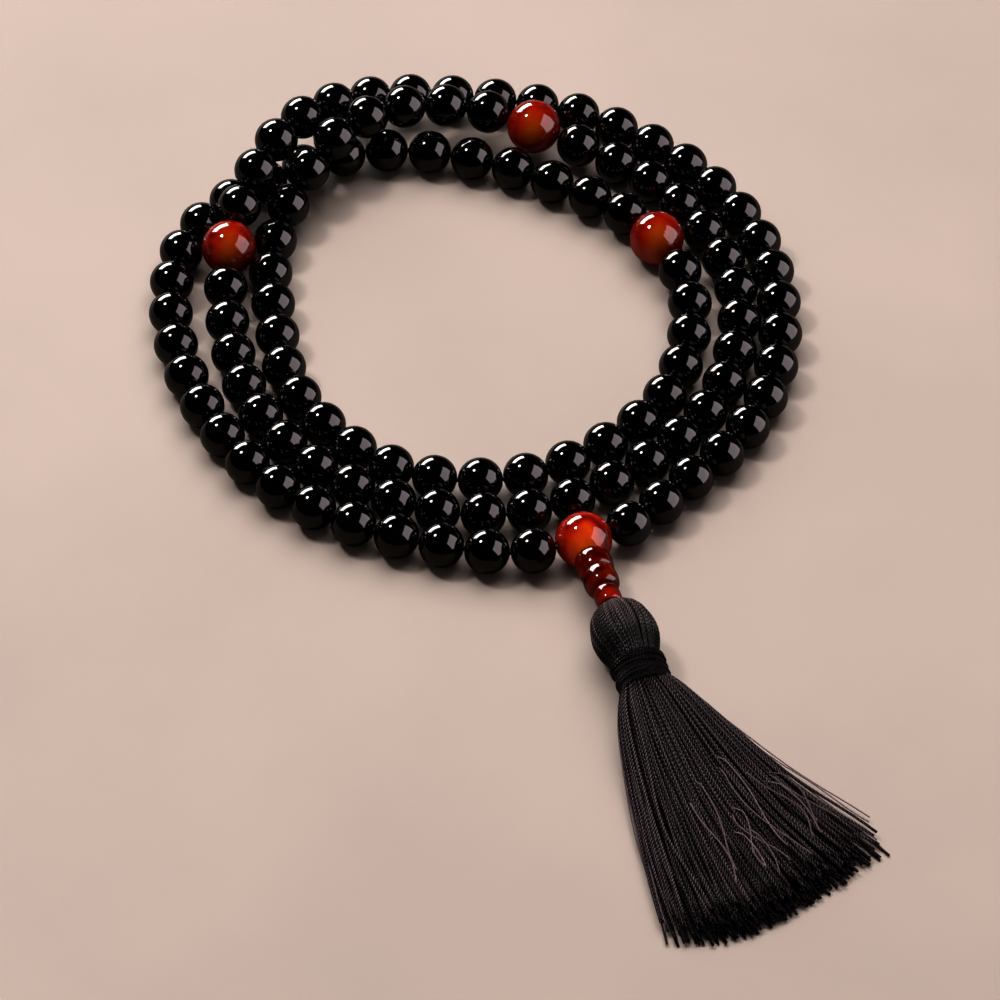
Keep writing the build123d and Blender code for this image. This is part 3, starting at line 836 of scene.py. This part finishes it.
class MALA_OT_cover_head(Operator):
    """Lays the threads from the tower's end over the head to the neck"""
    bl_idname = "mala.cover_head"
    bl_label = "Cover the head"

    def execute(self, context):
        sizes = settings(context).tassel
        rng = np.random.default_rng(sizes.seed)
        count, rows = sizes.head_threads, 26
        top, radius, neck = 0.25, sizes.head_diameter / 2, sizes.neck / 2
        widest = sizes.head_start + 0.53 * sizes.head_length
        end = sizes.head_start + sizes.head_length + 1.0
        # Meridians: a quarter ellipse from the hole to the widest place, then a half cosine in.
        share = np.linspace(0, 1, rows)
        dome = np.minimum(share / 0.5, 1.0) * np.pi / 2
        waist = np.clip((share - 0.5) / 0.5, 0, 1)
        profile = 0.95 + (radius - 0.95) * np.sin(dome) ** 0.9
        drawn_in = 0.5 - 0.5 * np.cos(np.pi * np.minimum(1, waist * 1.04))
        profile = profile - (radius - neck) * drawn_in
        along = np.where(share < 0.5, widest - (widest - top) * np.cos(dome),
                         widest + (end - widest) * waist)
        layers = []
        for layer, (sink, turn_shift) in enumerate(((0.0, 0.0), (0.3, 0.5))):
            angle = np.arange(count) + turn_shift + rng.uniform(-0.25, 0.25, count)
            angle = angle * 2 * np.pi / count
            sway = rng.normal(0, 0.035, (count, 1))
            sway = sway * np.sin(np.pi * share + rng.uniform(-1, 1, (count, 1)))
            angle = angle[:, None] + sway + 0.10 * (share - 0.5)
            out = profile - sizes.thread / 2 - sink + rng.normal(0, 0.05, (count, 1))
            aside = sizes.head_shift * np.sin(np.pi / 2 * share)
            path = tassel_points(out * np.sin(angle) + aside, out * np.cos(angle), along + 0 * out)
            outward = tassel_direction(np.sin(angle), np.cos(angle), 0 * angle)
            room = 2 * np.pi * out / count * 1.5
            thick = np.minimum(sizes.thread * rng.uniform(0.9, 1.15, (count, 1)), room) * MM
            layers.append((path, outward, thick))
        paths, outwards, thicks = (np.concatenate(parts) for parts in zip(*layers))
        # The head threads take the copy whose painted glints fade to painted shade towards the neck.
        threads = thread_object("head_threads", paths, thicks, outwards, 6,
                                finish_named("Head thread"))
        inner_reach = (profile - 0.75)[None, ::-1] * MM
        inner = turned_points(KNOT_CENTRE[None], TASSEL_AXIS[None], inner_reach,
                              along[None, ::-1] * MM, ROUND_FACES)
        lining = grid_object("head_lining", inner, turned_uvs(1, rows, ROUND_FACES),
                             finish_named("Binding thread"))
        for piece in (threads, lining):
            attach(piece, "tassel")
            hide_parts("tassel_head")
        return {"FINISHED"}


class MALA_OT_wind_binding(Operator):
    """Winds the binding thread round the neck"""
    bl_idname = "mala.wind_binding"
    bl_label = "Wind the binding"

    def execute(self, context):
        sizes = settings(context).tassel
        rng = np.random.default_rng(sizes.seed + 1)
        start = sizes.head_start + sizes.head_length
        coils = []
        for turns, low, high, proud, thick in (
                (sizes.binding_turns, 0.1, 1.06, 0.10, 0.5), (2.6, -0.02, 0.22, 0.45, 0.48),
                (1.7, 0.62, 0.80, 0.36, 0.42), (1.4, 0.30, 0.72, 0.40, 0.40)):
            share = np.linspace(0, 1, 300)
            angle = 2 * np.pi * turns * share + rng.uniform(0, 6)
            uneven = 0.05 * np.sin(3.1 * angle + 1.0) + 0.04 * np.sin(1.7 * angle)
            out = sizes.neck / 2 + proud + uneven
            along = start + sizes.binding_length * (low + (high - low) * share)
            along = along + 0.10 * np.sin(0.9 * angle)
            along = along + sizes.binding_tilt * (0.35 + 0.65 * np.cos(angle))
            path = tassel_points(out * np.sin(angle) + sizes.head_shift, out * np.cos(angle), along)
            outward = tassel_direction(np.sin(angle), np.cos(angle), 0 * angle)
            coils.append((path, outward, np.full(len(share), thick * MM)))
        paths, outwards, thicks = (np.stack(parts) for parts in zip(*coils))
        winding = thread_object("binding_winding", paths, thicks, outwards, 8,
                                finish_named("Binding thread"))
        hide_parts("neck_binding")
        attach(winding, "tassel")
        return {"FINISHED"}


class MALA_OT_hang_skirt(Operator):
    """Hangs the skirt's threads from the neck and fans them out on the table"""
    bl_idname = "mala.hang_skirt"
    bl_label = "Hang the skirt"

    tucked_in = 0.1          # share before 0 that stands for the stretch inside the binding

    def lay(self, sizes, across, level, reach, share, wander, lift):
        """Thread lines in tassel coordinates, (threads, rows, 3) in metres.

        across and level say where a thread sits in the round neck, from -1 to 1. Down the skirt
        its place across widens with the outline: at once by the flare, then evenly. Its height
        falls from the neck's disc on to the table, and all ends lie on an arc about the neck.
        """
        start = sizes.head_start + sizes.head_length + 0.1
        fan = start + sizes.binding_length
        s = np.clip(share, 0, 1)[None]
        neck = sizes.neck / 2 - sizes.thread / 2
        flared = sizes.flare * (1 - np.exp(-s * sizes.skirt_length / sizes.flare_length))
        width = sizes.neck + flared + (sizes.end_width - sizes.neck - sizes.flare) * s
        lean = np.radians(sizes.lean)
        middle = (sizes.skirt_length * s * np.sin(lean) - sizes.bow * np.sin(np.pi * s)
                  + sizes.head_shift * (1 - s))
        end_side = sizes.skirt_length * np.sin(lean) + across * sizes.end_width / 2
        depth = np.sqrt(np.maximum(1.0, reach**2 - end_side**2))
        tucked = 1 - 0.045 * s**2 * (across < 0)[:, None]
        side = middle + tucked * across[:, None] * (width / 2 - sizes.thread / 2 * s) + wander * s
        inside = np.minimum(share, 0)[None] * sizes.binding_length / self.tucked_in
        along = fan + depth[:, None] * s + inside
        # Heights: round at the neck, and a flat-bottomed pile on the table at the cut ends.
        chord = np.sqrt(np.maximum(0.0, 1 - across**2))
        disc = level[:, None] * neck * chord[:, None]
        pile = sizes.end_height + (sizes.neck - sizes.end_height) * (1 - s) ** 3
        rest = sizes.thread / 2 + 0.05 - KNOT_CENTRE[2] / MM
        heap = rest + (level[:, None] + 1) / 2 * (pile - sizes.thread) * chord[:, None] ** 0.8
        down = 1 - (1 - s) ** 3.2
        up = disc * (1 - down) + heap * down + lift * s
        up = np.maximum(up, rest)
        return tassel_points(side, up, along)

    def execute(self, context):
        sizes = settings(context).tassel
        rng = np.random.default_rng(sizes.seed + 2)
        count, rows = sizes.threads, 22
        share = np.concatenate([[-self.tucked_in], np.linspace(0, 1, rows - 1) ** 1.15])
        # A disc filled evenly by the golden angle, then squared up to places across and level.
        order = (np.arange(count) + 0.5) / count
        spiral = np.arange(count) * np.pi * (3 - 5**0.5)
        across = np.sqrt(order) * np.cos(spiral)
        level = np.sqrt(order) * np.sin(spiral) / np.sqrt(np.maximum(1e-6, 1 - across**2))
        level = np.clip(level, -1, 1)
        across = np.clip(across + rng.normal(0, 0.012, count), -1, 1)
        s = np.clip(share, 0, 1)[None]
        wave = rng.uniform(0.6, 1.7, (count, 1))
        phase = rng.uniform(0, 2 * np.pi, (count, 1))
        wander = (rng.normal(0, 0.42, (count, 1)) * np.sin(2 * np.pi * wave * s + phase)
                  + rng.normal(0, 0.55, (count, 1)) * s)
        lift = rng.normal(0, 0.12, (count, 1)) * np.sin(2 * np.pi * wave[::-1] * s + phase)
        top = (level + 1) / 2
        reach = sizes.skirt_length - sizes.trim * top ** 1.5 + rng.normal(0, 0.35, count)
        reach = reach + 2.2 * np.maximum(0, across) ** 8 + 1.7 * np.clip(0.5 - 2 * across, 0, 1)
        paths = self.lay(sizes, across, level, reach, share, wander, lift)
        thick = sizes.thread * rng.uniform(0.88, 1.12, (count, 1)) * MM
        thick = np.broadcast_to(thick, (count, rows))
        # Threads high in the pile or at its edges are lit; the rest take the copy with dim glints, which is
        # painted shade.
        lit = (level > 0.15) | (np.abs(across) > 0.93)
        skirt = thread_object("skirt_threads", paths[lit], thick[lit], TABLE_NORMAL, 6,
                              finish_named("Tassel thread"))
        shaded_threads = thread_object("skirt_shaded_threads", paths[~lit], thick[~lit], TABLE_NORMAL, 6,
                              finish_named("Shaded thread"))

        # Loose threads: some rise out of the lower half and curl there, others part at the edges.
        loose, fine = 20, 60
        share = np.concatenate([[-self.tucked_in], np.linspace(0, 1, fine - 1)])
        s = np.clip(share, 0, 1)[None]
        edge = np.arange(loose) >= 12
        sides = np.where(np.arange(loose) % 2, 0.97, -0.97)
        across = np.where(edge, sides, rng.uniform(-0.65, 0.75, loose))
        level = np.where(edge, 0.0, 1.0)
        begin = np.where(edge, 0.1, rng.uniform(0.35, 0.75, loose))[:, None]
        risen = np.clip((s - begin) / 0.12, 0, 1)
        swing = np.where(edge, 0.25, 1.6)[:, None] * rng.uniform(0.5, 1.4, (loose, 1))
        swing = swing * np.sign(rng.uniform(-1, 1, (loose, 1)))
        wander = swing * risen * np.sin(np.pi * rng.uniform(2.2, 4.6, (loose, 1)) * (s - begin))
        bow = np.where(edge, np.sign(across) * rng.uniform(0.1, 0.45, loose), 0.0)[:, None]
        wander = wander + bow * np.sin(np.pi * s) / np.maximum(0.15, s)
        lift = np.where(edge[:, None], 0.3, (3.1 * risen - 2.3) / np.maximum(0.08, s))
        reach = sizes.skirt_length + np.where(edge, rng.uniform(-6, 2.5, loose),
                                              rng.uniform(-9, -4, loose))
        paths = self.lay(sizes, across, level, reach, share, wander, lift)
        curls = thread_object("skirt_flyaways", paths, 0.26 * MM, TABLE_NORMAL, 5,
                              finish_named("Loose thread"))
        for piece in (skirt, shaded_threads, curls):
            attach(piece, "tassel")
            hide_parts("tassel_skirt")
        return {"FINISHED"}


class MALA_PT_maker(Panel):
    """Lists the steps of making the mala, with its sizes and colours"""
    bl_label = "Mala"
    bl_idname = "MALA_PT_maker"
    bl_space_type = "VIEW_3D"
    bl_region_type = "UI"
    bl_category = "Mala"

    def draw(self, context):
        for operator in steps:
            self.layout.operator(operator.bl_idname)
        for group in (settings(context).beads, settings(context).tassel, settings(context).colours,
                      settings(context).stage):
            box = self.layout.box()
            for name in group.__annotations__:
                box.prop(group, name)


steps = (MALA_OT_set_stage, MALA_OT_mix_finishes, MALA_OT_string_beads, MALA_OT_turn_tower,
         MALA_OT_cover_head, MALA_OT_wind_binding, MALA_OT_hang_skirt)
classes = (MalaBeadSizes, MalaTasselSizes, MalaColours, MalaStageSettings, MalaSettings, *steps,
           MALA_PT_maker)


def register():
    for each in classes:
        bpy.utils.register_class(each)
    bpy.types.Scene.mala = PointerProperty(type=MalaSettings)


def unregister():
    del bpy.types.Scene.mala
    for each in reversed(classes):
        bpy.utils.unregister_class(each)


def main():
    register()
    bpy.ops.mala.set_stage()
    bpy.ops.mala.mix_finishes()
    bpy.ops.mala.string_beads()
    bpy.ops.mala.turn_tower()
    bpy.ops.mala.cover_head()
    bpy.ops.mala.wind_binding()
    bpy.ops.mala.hang_skirt()
    bpy.context.view_layer.update()


if __name__ == "__main__":
    main()
